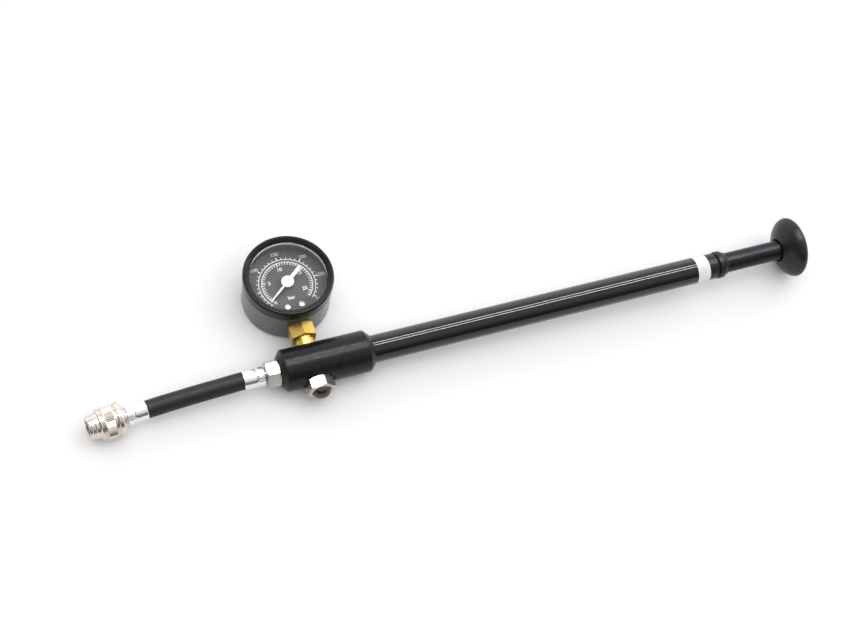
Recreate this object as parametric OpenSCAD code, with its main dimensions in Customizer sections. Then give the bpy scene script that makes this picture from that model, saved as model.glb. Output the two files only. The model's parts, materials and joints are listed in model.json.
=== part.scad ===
// High-pressure hand pump for suspension shocks, lying on a bench.
// The pump is drawn along X with its gauge towards +Y, and lie_down() tips it
// so that the knob and the head both touch the bench at z = 0.

/* [Head] */
// Radius of the round bar the head is cut from
body_r = 9.5; // [9.3:0.1:9.8]
// Where the head ends, towards the hose
body_left = -15.6; // [-16:0.1:-15]
// Where the head ends, towards the handle
body_right = 27.6; // [26:0.1:30]
// Depth of the chamfer on both ends of the head
body_chamfer = 2.7; // [2:0.1:2.9]
// Length of that chamfer at the hose end
hose_end_chamfer = 2.1; // [1:0.1:2.9]

/* [Barrel and rod] */
// Outer radius of the barrel
barrel_r = 6.35; // [6.3:0.01:6.4]
// Inner radius of the barrel
bore_r = 5.45; // [5.4:0.01:5.48]
// Where the barrel's full diameter ends
barrel_right = 188.7; // [188.4:0.1:189]
// Length of the white ring behind it
ring_len = 6.3; // [6:0.1:6.6]
// Radius of the piston rod
rod_r = 4.7; // [4.65:0.01:4.75]
// Where the rod enters the knob's blind hole
rod_right = 240; // [238:0.1:242]
// Front face of the piston with the handle where it rests
piston_left = 39; // [39:0.1:60]

/* [Knob] */
// Largest radius of the knob
knob_r = 14.35; // [12:0.05:16]
// Place of that radius along the pump
knob_x = 241; // [238:0.1:246]
// Depth of the knob's dome towards the barrel
knob_front = 7.7; // [7:0.1:8]
// Depth of the dome that the palm pushes
knob_back = 4.9; // [3.5:0.1:6]

/* [Gauge] */
// Distance from the pump's axis to the middle of the dial
gauge_y = 39.4; // [39:0.1:41]
// Outer radius of the bezel
bezel_r = 20.5; // [20.4:0.1:21]
// Height of the bezel's rim above the pump's axis
bezel_top = 13.4; // [13.2:0.1:14]
// Outer radius of the case
case_r = 20.1; // [20:0.1:20.2]
// Height of the case's back, below the pump's axis
case_bottom = -9.35; // [-9.4:0.01:-9.3]
// Across flats of the brass hexagon
socket_af = 11; // [10:0.1:11.5]
// Angle of the pointer at rest, clockwise from the stem
pointer_zero = 51; // [40:1:60]

/* [Bleed valve] */
// Across flats of the bleed valve's hexagon
bleed_af = 11.8; // [11:0.1:12.2]
// Distance from the axis to the hexagon's front face
bleed_front = 14.2; // [13.5:0.1:15]
// Turn of the hexagon where it was tightened
bleed_turn = 15; // [0:1:59]
// Radius of the button
button_r = 4.1; // [4:0.05:4.2]

/* [Hose and chuck] */
// Across flats of the hose's hexagon
hose_af = 11.2; // [10:0.1:12]
// Radius of the hose
hose_r = 4; // [3.9:0.05:4]
// Outer radius of the crimped ferrules
ferrule_r = 4.35; // [4.3:0.01:4.5]
// Radius of the chuck's grip
collar_r = 7.45; // [7.2:0.01:7.48]
// Radius of the chuck's threaded bore, for an 8V1 valve
thread_r = 3.9; // [3.85:0.01:3.95]

/* [Hidden] */
$fn = 96;

eps = 0.01;                       // keeps a moving seal off its seat
fit = 0.05;                       // gap all round where one piece slides in another

// Resting attitude: the head's left edge and the knob's rim share the bench.
rest_x = body_left + hose_end_chamfer;
tilt = atan((knob_r - body_r) / (knob_x - rest_x));
lift = body_r * cos(tilt) - rest_x * sin(tilt);
// The middle of the pump without its hose, which becomes the origin.
middle_x = 106.945;
middle_y = 21.45;

// Head: bores from the hose end to the barrel
port_r = 3.95;                    // threaded port for the hose
port_end = -7.5;
passage_r = 1.6;
poppet_room_r = 3;
poppet_room = [3.5, 10];
socket_end = 10;                  // bottom of the barrel's socket
spot_r = 7.6;                     // spot face round the bleed valve
spot_y = -8.7;
gauge_port_r = 4.8;
gauge_port_end = 3.8;
gasket_h = 0.3;
bleed_port_r = 4;
bleed_port_end = -4.2;
bleed_room_r = 2.6;

// Check valve
seat_x = [10.8, 13];
gasket_x = [10, 10.8];
seat_hole_r = 1;

// Gland at the open end of the barrel
ring_right = barrel_right + ring_len;
spigot_r = 5.86;                  // the barrel under the white ring
gland_left = 188;
wiper_left = 204.1;
gland_right = 205.4;
bumper_x = [183.5, 185.8];
bush_x = [186, 188];

// Piston
piston_len = 10;
groove = [4.2, 6.6];              // o-ring groove, from the piston's front
groove_r = 3.9;
ring_wire = 0.75;
front_power = 1.7;                // shape of the knob's dome towards the barrel: 2 is an ellipse
back_power = 2.1;
knob_steps = 24;

// Gauge: heights from the pump's axis
case_wall = 0.9;
case_rim = 9.4;
bezel_low = 8.4;
window_z = [10.6, 11.9];
window_r = 20;
gasket_r = 17.7;                  // inside of the window's gasket
opening_r = 17.5;
dial_z = [3.7, 4.3];
dial_r = 18.4;
screw_x = 3.3;
screw_y = -11.6;
pointer_z = 6.3;
hub_z = 7;
block_w = 8;
block_y = [-18.6, -10.6];         // from the dial's middle
block_z = [-4.5, 3.7];
tube_mid_r = 14.5;
tube_z = [-4, 1];
tube_wall = 0.8;                  // half the flattened tube's thickness
tube_ends = [-75, 170];
plate_y = [-10.5, 4];
plate_half = 7.5;
back_plate_z = [-5.3, -4.5];
front_plate_z = [2.4, 3.2];
pillar_at = [6.2, 2.4];

// Gear train: a 72-tooth sector turns a 12-tooth pinion
tooth_module = 0.2;
pinion_teeth = 12;
sector_full_teeth = 72;
gear_gap = 0.05;
sector_pivot_y = -(pinion_teeth + sector_full_teeth) * tooth_module / 2 - gear_gap;
sector_teeth = 12;
sector_pitch = 360 / sector_full_teeth;
sector_z = [-1, 0.2];
pinion_z = [-1.4, 0.6];
tail_r = 4.5;
tail_angle = 130;
link_z = [1.1, 1.7];
tip_pin = [-14.4, 1.8];

// Bleed valve, distances from the axis towards -Y
bleed_floor = 9;                  // bottom of the button's room in the hexagon
button_under = 12.2;
button_top = 17;
bleed_stem_r = 1;

// Hose end
nut_left = -21.7;
hose_start = -22.6;
ferrule_left = -31.9;
barb_r = 2;

// Springs
wire_r = 0.2;

// Hose route over the bench, hand placed, before the origin is moved
hose_route = [
  [-22.6, 0, 9.33], [-27, 0, 9.25], [-32, 0, 9.14], [-36, -0.1, 9.02], [-40, -0.25, 8.88],
  [-44, -0.4, 8.72], [-48, -0.5, 8.55], [-52, -0.65, 8.38], [-56, -0.8, 8.2], [-60, -1, 8.03],
  [-64, -1.2, 7.87], [-68, -1.42, 7.72], [-71.8, -1.67, 7.6], [-75.5, -1.95, 7.52],
  [-79.9, -2.36, 7.5], [-84.3, -2.77, 7.5],
];
hose_bore_r = 2.4;
hose_sides = 12;
// Chuck: its axis starts where the rubber leaves the ferrule and points to the nose
chuck_from = [-75.5, -1.95, 7.5];
chuck_heading = 185.32;
nose_end = 26.1;
nose_r = 5.8;
thread_depth = 6.6;
cup_r = 6.3;                      // outside of the cup that the grip is pressed on
collar_w = [10.8, 21.4];

// ---------------------------------------------------------------- placing

module centre() {
  translate([-middle_x, -middle_y, 0]) children();
}

module lie_down() {
  centre() translate([0, 0, lift]) rotate([0, -tilt, 0]) children();
}

// Turned about the pump's axis from a profile of [radius, place along X]
module turned_x(profile) {
  rotate([0, 90, 0]) rotate_extrude() polygon(profile);
}

// Turned about a line through the axis along Y, profile of [radius, y]
module turned_y(profile) {
  rotate([-90, 0, 0]) rotate_extrude() polygon(profile);
}

module bar_x(r, x, sides = 96) {
  translate([x[0], 0, 0]) rotate([0, 90, 0]) cylinder(r = r, h = x[1] - x[0], $fn = sides);
}

module bar_y(r, y, sides = 96) {
  translate([0, y[0], 0]) rotate([-90, 0, 0]) cylinder(r = r, h = y[1] - y[0], $fn = sides);
}

module bar_z(r, z, sides = 96) {
  translate([0, 0, z[0]]) cylinder(r = r, h = z[1] - z[0], $fn = sides);
}

module pipe_x(outer, inner, x) {
  difference() {
    bar_x(outer, x);
    bar_x(inner, [x[0] - 1, x[1] + 1]);
  }
}

module at_gauge() {
  translate([0, gauge_y, 0]) children();
}

// The chuck's own frame: +Z runs from the ferrule to the nose
module at_chuck() {
  centre() translate(chuck_from) rotate([0, 0, chuck_heading]) rotate([0, 90, 0]) children();
}

// Hexagon with both ends turned down at its corners, flats facing along local X
module hexagon(across_flats, h, bevel = 0.5) {
  corner = across_flats / sqrt(3);
  intersection() {
    rotate(30) cylinder(r = corner, h = h, $fn = 6);
    rotate_extrude() polygon([
      [0, 0], [corner - bevel * 1.5, 0], [corner, bevel], [corner, h - bevel],
      [corner - bevel * 1.5, h], [0, h],
    ]);
  }
}

// ---------------------------------------------------------------- sweeps

function unit(v) = v / norm(v);
function along(route, i) = unit(
  route[min(i + 1, len(route) - 1)] - route[max(i - 1, 0)]);
// Ring of points square to the route at point i
function ring_at(route, i, r, sides) =
  let (t = along(route, i), side = unit(cross([0, 0, 1], t)), up = cross(t, side))
  [for (k = [0 : sides - 1])
    route[i] + r * (cos(360 * k / sides) * side + sin(360 * k / sides) * up)];
// Quads of a wall between rings, starting at vertex base
function wall(base, rings, sides, flip) = [
  for (i = [0 : rings - 2]) for (k = [0 : sides - 1])
    let (a = base + i * sides, b = a + sides, n = (k + 1) % sides)
    flip ? [a + k, b + k, b + n, a + n] : [a + k, a + n, b + n, b + k]];
function joined(lists) = [for (l = lists) for (v = l) v];

// Solid rod of radius r along a route
module swept_rod(route, r, sides) {
  rings = len(route);
  last = (rings - 1) * sides;
  polyhedron(
    points = joined([for (i = [0 : rings - 1]) ring_at(route, i, r, sides)]),
    faces = concat(
      wall(0, rings, sides, true),
      [[for (k = [0 : sides - 1]) k]],
      [[for (k = [sides - 1 : -1 : 0]) last + k]]),
    convexity = 10);
}

// Pipe along a route, as one skin with its bore
module swept_pipe(route, outer, inner, sides) {
  rings = len(route);
  base = rings * sides;
  last = (rings - 1) * sides;
  polyhedron(
    points = concat(
      joined([for (i = [0 : rings - 1]) ring_at(route, i, outer, sides)]),
      joined([for (i = [0 : rings - 1]) ring_at(route, i, inner, sides)])),
    faces = concat(
      wall(0, rings, sides, true),
      wall(base, rings, sides, false),
      [for (k = [0 : sides - 1]) let (n = (k + 1) % sides) [k, n, base + n, base + k]],
      [for (k = [0 : sides - 1]) let (n = (k + 1) % sides)
        [last + n, last + k, base + last + k, base + last + n]]),
    convexity = 10);
}

// Coil spring round Z, from z = 0 to z = h
module coil_spring(r, h, turns, wire = wire_r) {
  steps = 16 * turns;
  swept_rod([
    for (i = [0 : steps])
      [r * cos(360 * turns * i / steps), r * sin(360 * turns * i / steps), wire + (h - 2 * wire) * i / steps]
  ], wire, 6);
}

// ---------------------------------------------------------------- head

// Round bar with drilled ports for hose, gauge, bleed valve and barrel
module body_block() {
  color([0.05, 0.05, 0.06]) lie_down() difference() {
    turned_x([
      [0, body_left], [body_r - body_chamfer, body_left], [body_r, rest_x],
      [body_r, body_right - body_chamfer], [body_r - body_chamfer, body_right], [0, body_right],
    ]);
    bar_x(port_r, [body_left - 1, port_end]);
    bar_x(passage_r, [port_end - 1, poppet_room[0] + 1]);
    bar_x(poppet_room_r, [poppet_room[0], poppet_room[1] + 1]);
    bar_x(barrel_r, [socket_end, body_right + 1]);
    bar_y(gauge_port_r, [gauge_port_end, body_r + 1]);
    bar_y(1.2, [0, gauge_port_end + 1]);
    bar_y(spot_r, [-body_r - 1, spot_y]);
    bar_y(bleed_port_r, [-body_r - 1, bleed_port_end]);
    bar_y(bleed_room_r, [bleed_port_end - 1, -0.6]);
  }
}

module seat_gasket() {
  color([0.12, 0.12, 0.12]) lie_down() pipe_x(6.2, 3.4, gasket_x);
}

// Brass disc that the barrel clamps; the poppet closes its hole
module valve_seat() {
  color([0.8, 0.62, 0.25]) lie_down() pipe_x(6.2, seat_hole_r, seat_x);
}

module check_poppet() {
  color([0.85, 0.85, 0.8]) lie_down() turned_x([
    [0, 4.6], [0.9, 4.6], [0.9, 8.9], [2.4, 8.9], [2.4, 10.3], [0, 10.3],
  ]);
}

module check_seal() {
  color([0.1, 0.1, 0.1]) lie_down() bar_x(2.2, [10.3, seat_x[0] - eps]);
}

module check_spring() {
  color([0.75, 0.76, 0.78]) lie_down()
    translate([poppet_room[0], 0, 0]) rotate([0, 90, 0]) coil_spring(1.6, 5.4, 5);
}

// ---------------------------------------------------------------- barrel

module barrel() {
  color([0.04, 0.04, 0.05]) lie_down() difference() {
    turned_x([
      [0, seat_x[1]], [barrel_r, seat_x[1]], [barrel_r, barrel_right],
      [spigot_r, barrel_right], [spigot_r, ring_right], [0, ring_right],
    ]);
    bar_x(bore_r, [seat_x[1] - 1, ring_right + 1]);
  }
}

module white_ring() {
  color([0.92, 0.92, 0.9]) lie_down() pipe_x(barrel_r, spigot_r, [barrel_right, ring_right]);
}

// Screwed into the barrel; its stepped rim carries the wiper
module gland_nut() {
  color([0.03, 0.03, 0.03]) lie_down() turned_x([
    [rod_r + fit, gland_left], [bore_r, gland_left], [bore_r, ring_right],
    [5.8, ring_right], [6.05, ring_right + 0.6], [6.05, 199.3], [5.55, 199.8], [5.55, 200],
    [6.45, 200.6], [6.45, 203], [5.6, wiper_left], [rod_r + fit, wiper_left],
  ]);
}

module rod_bush() {
  color([0.7, 0.6, 0.35]) lie_down() pipe_x(bore_r, rod_r + 0.03, bush_x);
}

module rod_wiper() {
  color([0.06, 0.06, 0.06]) lie_down() turned_x([
    [rod_r + 0.02, wiper_left], [5.5, wiper_left], [5.3, gland_right - 0.3], [5.1, gland_right],
    [rod_r + 0.02, gland_right],
  ]);
}

module bumper_ring() {
  color([0.1, 0.1, 0.1]) lie_down() pipe_x(bore_r, rod_r + 0.1, bumper_x);
}

// ---------------------------------------------------------------- rod and piston

module piston_rod() {
  color([0.1, 0.1, 0.12]) lie_down() pipe_x(rod_r, 3, [piston_left + piston_len, rod_right]);
}

module piston() {
  left = piston_left;
  right = piston_left + piston_len;
  color([0.72, 0.73, 0.75]) lie_down() turned_x([
    [0, left], [5.1, left], [bore_r - 0.08, left + 0.4], [bore_r - 0.08, left + groove[0]],
    [groove_r, left + groove[0]], [groove_r, left + groove[1]], [bore_r - 0.08, left + groove[1]],
    [bore_r - 0.08, right], [3, right], [3, right + 9], [0, right + 9],
  ]);
}

module piston_o_ring() {
  mid = piston_left + (groove[0] + groove[1]) / 2;
  color([0.08, 0.08, 0.08]) lie_down()
    translate([mid, 0, 0]) rotate([0, 90, 0]) rotate_extrude()
      translate([groove_r + ring_wire + 0.02, 0]) circle(r = ring_wire, $fn = 32);
}

// Depth of a dome of the given power at radius r
function dome(r, depth, power) = depth * pow(1 - pow(r / knob_r, power), 1 / power);

// Turned plastic mushroom with a blind hole for the rod
module knob() {
  radii = [for (i = [0 : knob_steps]) knob_r * sin(90 * i / knob_steps)];
  color([0.03, 0.03, 0.03]) lie_down() difference() {
    turned_x(concat(
      [for (r = radii) [r, knob_x - dome(r, knob_front, front_power)]],
      [for (i = [knob_steps - 1 : -1 : 0])
        [radii[i], knob_x + dome(radii[i], knob_back, back_power)]]));
    bar_x(rod_r, [knob_x - knob_front - 1, rod_right]);
    bar_x(2.5, [rod_right - 1, rod_right + 3]);
  }
}

module knob_stud() {
  color([0.7, 0.7, 0.7]) lie_down() turned_x([
    [0, 222], [3, 222], [3, rod_right], [2.5, rod_right], [2.5, rod_right + 3], [0, rod_right + 3],
  ]);
}

// ---------------------------------------------------------------- gauge

// Deep steel cup, open to the front, with a hole for the stem
module gauge_case() {
  color([0.06, 0.06, 0.07]) lie_down() difference() {
    at_gauge() turned_z([
      [0, case_bottom], [case_r - 0.6, case_bottom], [case_r, case_bottom + 0.6],
      [case_r, case_rim], [case_r - case_wall, case_rim],
      [case_r - case_wall, case_bottom + case_wall], [0, case_bottom + case_wall],
    ]);
    bar_y(4.25, [gauge_y - case_r - 2, gauge_y - case_r + 4]);
  }
}

module turned_z(profile) {
  rotate_extrude() polygon(profile);
}

// Snap-on ring over the case, with an inward lip above the window
module gauge_bezel() {
  color([0.03, 0.03, 0.03]) lie_down() at_gauge() turned_z([
    [case_r, bezel_low], [bezel_r - 0.2, bezel_low], [bezel_r, bezel_low + 0.3],
    [bezel_r, bezel_top - 0.5], [bezel_r - 0.5, bezel_top], [19, bezel_top],
    [opening_r, window_z[1] + 0.5], [opening_r, window_z[1]], [window_r, window_z[1]],
    [window_r, case_rim], [case_r, case_rim],
  ]);
}

module gauge_window() {
  color([0.8, 0.85, 0.88, 0.35]) lie_down() at_gauge() bar_z(window_r, window_z);
}

// Rubber ring between the case's rim and the window
module window_gasket() {
  color([0.3, 0.3, 0.3]) lie_down() at_gauge() difference() {
    bar_z(window_r, [case_rim, window_z[0]]);
    bar_z(gasket_r, [case_rim - 1, window_z[0] + 1]);
  }
}

module dial_plate() {
  color([0.13, 0.13, 0.14]) lie_down() at_gauge() difference() {
    bar_z(dial_r, dial_z);
    bar_z(1.2, [dial_z[0] - 1, dial_z[1] + 1]);
    for (side = [-1, 1]) translate([side * screw_x, screw_y, 0])
      bar_z(0.75, [dial_z[0] - 1, dial_z[1] + 1]);
  }
}

// Two pan-head screws that hold the dial to the socket block
module dial_screws() {
  color([0.85, 0.83, 0.8]) lie_down() at_gauge()
    for (side = [-1, 1]) translate([side * screw_x, screw_y, 0]) difference() {
      turned_z([
        [0, 0.9], [0.7, 0.9], [0.7, dial_z[1]], [1.4, dial_z[1]], [1.4, dial_z[1] + 0.4],
        [1, dial_z[1] + 0.7], [0, dial_z[1] + 0.7],
      ]);
      translate([-2, -0.15, dial_z[1] + 0.4]) cube([4, 0.3, 1]);
    }
}

// Brass stem: thread, collar, hexagon, and the block inside the case
module gauge_socket() {
  hex_from = 12.6;
  color([0.83, 0.64, 0.25]) lie_down() difference() {
    union() {
      bar_y(gauge_port_r, [gauge_port_end + gasket_h, 8.7]);
      bar_y(4.4, [8.7, hex_from]);
      translate([0, hex_from, 0]) rotate([-90, 0, 0])
        hexagon(socket_af, gauge_y - case_r - 0.1 - hex_from, 0.3);
      bar_y(4.2, [hex_from, gauge_y + block_y[0] + 0.1]);
      translate([-block_w / 2, gauge_y + block_y[0], block_z[0]])
        cube([block_w, block_y[1] - block_y[0], block_z[1] - block_z[0]]);
    }
    bar_y(1.2, [0, gauge_y + block_y[1] - 3]);
    at_gauge() for (side = [-1, 1])
      translate([side * screw_x, screw_y, 0]) bar_z(0.7, [0.5, block_z[1] + 1]);
    at_gauge() translate([0, 0, tube_mid_z()]) bent_bore();
  }
}

function tube_mid_z() = (tube_z[0] + tube_z[1]) / 2;

// Cross passage from the stem's bore to the tube's root
module bent_bore() {
  translate([0, -tube_mid_r, 0]) rotate([0, 90, 0]) cylinder(r = 0.5, h = block_w / 2 + 1, $fn = 24);
}

// Fibre washer under the stem's thread
module gauge_gasket() {
  color([0.45, 0.2, 0.12]) lie_down() difference() {
    bar_y(gauge_port_r - 0.1, [gauge_port_end, gauge_port_end + gasket_h]);
    bar_y(1.3, [gauge_port_end - 1, gauge_port_end + 2]);
  }
}

// Flattened, curved tube, closed by its tip
module bourdon_tube() {
  span = tube_ends[1] - tube_ends[0];
  color([0.78, 0.58, 0.3]) lie_down() at_gauge() rotate(tube_ends[0]) difference() {
    rotate_extrude(angle = span) translate([tube_mid_r - tube_wall, tube_z[0]])
      square([2 * tube_wall, tube_z[1] - tube_z[0]]);
    rotate_extrude(angle = span) translate([tube_mid_r - tube_wall / 2, tube_z[0] + 0.5])
      square([tube_wall, tube_z[1] - tube_z[0] - 1]);
  }
}

// Brass plug on the tube's free end, with the link's pin
module tube_tip() {
  color([0.83, 0.64, 0.25]) lie_down() at_gauge() {
    rotate(tube_ends[1]) rotate_extrude(angle = 6) translate([tube_mid_r - 1, tube_z[0]])
      square([2, tube_z[1] - tube_z[0]]);
    translate([tip_pin[0], tip_pin[1], 0]) bar_z(0.4, [tube_z[1], 2.1], 24);
  }
}

module plate_outline(z) {
  difference() {
    translate([-plate_half, plate_y[0], z[0]])
      cube([2 * plate_half, plate_y[1] - plate_y[0], z[1] - z[0]]);
    bar_z(0.55, [z[0] - 1, z[1] + 1], 24);
    translate([0, sector_pivot_y, 0]) bar_z(0.65, [z[0] - 1, z[1] + 1], 24);
  }
}

// Two plates that carry the gear train's pivots; the back one reaches under the block
module movement_plates() {
  color([0.8, 0.64, 0.3]) lie_down() at_gauge() {
    plate_outline(back_plate_z);
    translate([-block_w / 2, -14.5, back_plate_z[0]])
      cube([block_w, 14.5 + plate_y[0], back_plate_z[1] - back_plate_z[0]]);
    plate_outline(front_plate_z);
  }
}

module movement_pillars() {
  color([0.8, 0.64, 0.3]) lie_down() at_gauge()
    for (side = [-1, 1]) translate([side * pillar_at[0], pillar_at[1], 0])
      bar_z(0.8, [back_plate_z[1], front_plate_z[0]], 24);
}

// Outline of one short gear tooth at pitch radius r, pointing along heading
module tooth(r, heading) {
  half_root = 0.15;
  half_tip = 0.07;
  outward = 0.14;
  rotate(heading) translate([r, 0]) polygon([
    [-0.35, -half_root], [outward, -half_tip], [outward, half_tip], [-0.35, half_root],
  ]);
}

// Toothed sector with its arbor, tail and link pin
module sector_gear() {
  root_r = sector_full_teeth * tooth_module / 2 - 0.25;
  color([0.8, 0.66, 0.35]) lie_down() at_gauge() translate([0, sector_pivot_y, 0]) {
    translate([0, 0, sector_z[0]]) linear_extrude(sector_z[1] - sector_z[0]) {
      for (k = [0 : sector_teeth - 1])
        tooth(root_r + 0.25, 90 + (0.5 - k) * sector_pitch);
      sector_web(root_r);
      circle(r = 1.5);
      rotate(tail_angle) translate([0, -0.7]) square([tail_r, 1.4]);
      rotate(tail_angle) translate([tail_r, 0]) circle(r = 0.8, $fn = 32);
    }
    bar_z(0.6, [back_plate_z[0], front_plate_z[1]], 24);
    bar_z(1.2, [back_plate_z[1] + 0.1, front_plate_z[0] - 0.1], 48);
    rotate(tail_angle) translate([tail_r, 0, 0]) bar_z(0.4, [sector_z[1], 2], 24);
  }
}

// Pie slice behind the teeth
module sector_web(r) {
  first = 90 + sector_pitch;
  last = 90 - (sector_teeth - 0.5) * sector_pitch;
  polygon(concat([[0, 0]], [for (i = [0 : 12])
    r * [cos(first + (last - first) * i / 12), sin(first + (last - first) * i / 12)]]));
}

// Link from the sector's tail to the tube's tip; its far eye is oversize
module sector_link() {
  tail = [tail_r * cos(tail_angle), sector_pivot_y + tail_r * sin(tail_angle)];
  reach = norm(tip_pin - tail);
  heading = atan2(tip_pin[1] - tail[1], tip_pin[0] - tail[0]);
  color([0.7, 0.7, 0.68]) lie_down() at_gauge() translate([tail[0], tail[1], link_z[0]])
    rotate(heading) difference() {
      linear_extrude(link_z[1] - link_z[0]) {
        circle(r = 1, $fn = 48);
        translate([0, -0.4]) square([reach - 1.2, 0.8]);
        translate([reach, 0]) circle(r = 1.6, $fn = 48);
      }
      translate([0, 0, -1]) cylinder(r = 0.45, h = 4, $fn = 24);
      translate([reach, 0, -1]) cylinder(r = 1.1, h = 4, $fn = 48);
    }
}

// Pinion on the arbor that carries the pointer
module pinion_shaft() {
  root_r = pinion_teeth * tooth_module / 2 - 0.25;
  color([0.72, 0.72, 0.7]) lie_down() at_gauge() {
    translate([0, 0, pinion_z[0]]) linear_extrude(pinion_z[1] - pinion_z[0]) {
      circle(r = root_r, $fn = 48);
      for (k = [0 : pinion_teeth - 1])
        tooth(root_r + 0.25, -90 + k * 360 / pinion_teeth);
    }
    bar_z(0.5, [back_plate_z[0], pointer_z - 0.1], 24);
  }
}

// Flat spiral that takes up the gears' backlash
module hair_spring() {
  turns = 3;
  steps = 60;
  start_r = 1;
  end_r = 2.8;
  function spiral(i, off) =
    let (a = 360 * turns * i / steps, r = start_r + (end_r - start_r) * i / steps + off)
    r * [cos(a), sin(a)];
  color([0.75, 0.65, 0.4]) lie_down() at_gauge() translate([0, 0, 0.9]) linear_extrude(0.5)
    polygon(concat(
      [for (i = [0 : steps]) spiral(i, 0.06)],
      [for (i = [steps : -1 : 0]) spiral(i, -0.06)]));
}

// Pressed pointer: thin needle, round hub and broad tail
module pointer() {
  needle = 13;
  tail = 9.6;
  color([0.9, 0.88, 0.82]) lie_down() at_gauge() rotate(-90 - pointer_zero) difference() {
    union() {
      translate([0, 0, pointer_z]) linear_extrude(0.35)
        polygon([[0, -0.6], [needle, -0.2], [needle, 0.2], [0, 0.6], [-3, 0.75], [-tail, 0.75],
          [-tail - 0.5, 0], [-tail, -0.75], [-3, -0.75]]);
      bar_z(2.9, [pointer_z, hub_z], 64);
      bar_z(1, [pointer_z - 0.5, pointer_z], 32);
    }
    bar_z(0.5, [pointer_z - 1, pointer_z - 0.1], 24);
  }
}

// ---------------------------------------------------------------- bleed valve

module bleed_nut() {
  color([0.78, 0.75, 0.72]) lie_down() difference() {
    union() {
      translate([0, -bleed_front, 0]) rotate([-90, 0, 0]) rotate(bleed_turn)
        hexagon(bleed_af, bleed_front + spot_y, 0.7);
      bar_y(bleed_port_r, [spot_y - 0.5, bleed_port_end]);
    }
    bar_y(button_r + 0.08, [-bleed_front - 1, -bleed_floor]);
    bar_y(bleed_stem_r + 0.25, [-bleed_floor - 1, bleed_port_end + 1]);
  }
}

// Domed button, its stem, and the small head that holds the seal
module bleed_button() {
  color([0.12, 0.11, 0.11]) lie_down() turned_y([
    [0, -button_top], [1.6, -button_top + 0.2], [2.7, -button_top + 0.7], [3.5, -button_top + 1.5],
    [3.9, -button_top + 2.2], [button_r, -button_top + 3], [button_r, -button_under],
    [bleed_stem_r, -button_under],
    [bleed_stem_r, -3.3], [2.1, -3.3], [2.1, -2.6], [0, -2.6],
  ]);
}

module bleed_spring() {
  color([0.75, 0.76, 0.78]) lie_down()
    translate([0, -button_under, 0]) rotate([-90, 0, 0])
      coil_spring(2.2, button_under - bleed_floor, 4);
}

module bleed_o_ring() {
  wire = 0.43;
  color([0.08, 0.08, 0.08]) lie_down()
    translate([0, -3.3 - wire, 0]) rotate([-90, 0, 0]) rotate_extrude()
      translate([bleed_stem_r + wire, 0]) circle(r = wire, $fn = 32);
}

// ---------------------------------------------------------------- hose

// Hexagon fitting: thread into the head, barb into the hose
module hose_nut() {
  color([0.78, 0.75, 0.72]) lie_down() difference() {
    union() {
      translate([nut_left, 0, 0]) rotate([0, 90, 0]) hexagon(hose_af, body_left - nut_left);
      bar_x(port_r, [body_left - 0.5, port_end - 0.5]);
      bar_x(3.3, [hose_start, nut_left + 1]);
      barb(hose_start, -1);
    }
    bar_x(1.2, [-40, 0]);
  }
}

// Barbed tail of radius barb_r that leaves `from` along -X
module barb(from, way) {
  turned_x([
    [0, from + way * 8], [barb_r - 0.3, from + way * 8], [barb_r + 0.2, from + way * 6],
    [barb_r - 0.2, from + way * 6], [barb_r + 0.2, from + way * 4], [barb_r - 0.2, from + way * 4],
    [barb_r + 0.2, from + way * 2], [barb_r - 0.2, from + way * 2], [barb_r - 0.2, from], [0, from],
  ]);
}

module hose_port_seal() {
  color([0.1, 0.1, 0.1]) lie_down() pipe_x(3.8, 1.8, [port_end - 0.5, port_end]);
}

// Crimped sleeve over the hose: a plain length, a crimp, a bead and a turned-in end
module ferrule(plain, length) {
  rotate_extrude() polygon([
    [hose_r + 0.03, 0], [ferrule_r - 0.1, 0], [ferrule_r, 0.2], [ferrule_r, plain],
    [ferrule_r - 0.2, plain + 0.4], [ferrule_r, plain + 0.9], [ferrule_r, length - 0.3],
    [ferrule_r - 0.3, length], [3.35, length], [3.35, length - 0.3], [hose_r + 0.03, length - 0.3],
  ]);
}

module hose_ferrule() {
  color([0.85, 0.86, 0.88]) lie_down()
    translate([ferrule_left, 0, 0]) rotate([0, 90, 0]) ferrule(5.6, hose_start + 0.4 - ferrule_left);
}

module hose() {
  color([0.05, 0.05, 0.05]) centre() swept_pipe(hose_route, hose_r, hose_bore_r, hose_sides);
}

module chuck_ferrule() {
  color([0.85, 0.86, 0.88]) at_chuck() ferrule(5.4, 9.2);
}

// Barbed swivel stem that the chuck turns on
module chuck_stem() {
  color([0.78, 0.75, 0.72]) at_chuck() difference() {
    rotate_extrude() polygon([
      [0, 1], [barb_r - 0.3, 1], [barb_r + 0.2, 3], [barb_r - 0.2, 3], [barb_r + 0.2, 5],
      [barb_r - 0.2, 5], [barb_r + 0.2, 7], [barb_r - 0.2, 7], [barb_r - 0.2, 8.84], [3.3, 8.84],
      [3.3, 9.5], [5, 9.7], [5.5, 10.1], [5.5, 10.7], [4.2, 10.7], [4.2, 13.5], [5.4, 13.5],
      [5.4, 16.4], [0, 16.4],
    ]);
    translate([0, 0, -1]) cylinder(r = 1.2, h = 20);
    translate([0, 0, 15.3]) cylinder(r = 1.95, h = 2);
  }
}

// Nose with the valve thread, and the cup that turns on the stem's flange
module chuck_body() {
  color([0.8, 0.77, 0.74]) at_chuck() rotate_extrude() polygon([
    [5.5, 13.4], [cup_r, 13.4], [cup_r, collar_w[1]], [nose_r, collar_w[1]], [nose_r, 23],
    [nose_r - 0.3, 23.3], [nose_r - 0.3, 24.7], [nose_r - 0.6, 25], [nose_r - 0.6, 25.5],
    [nose_r - 0.9, nose_end], [thread_r, nose_end],
    [thread_r, nose_end - thread_depth], [4.1, nose_end - thread_depth], [4.1, 16.5], [5.5, 16.5],
  ]);
}

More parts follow.
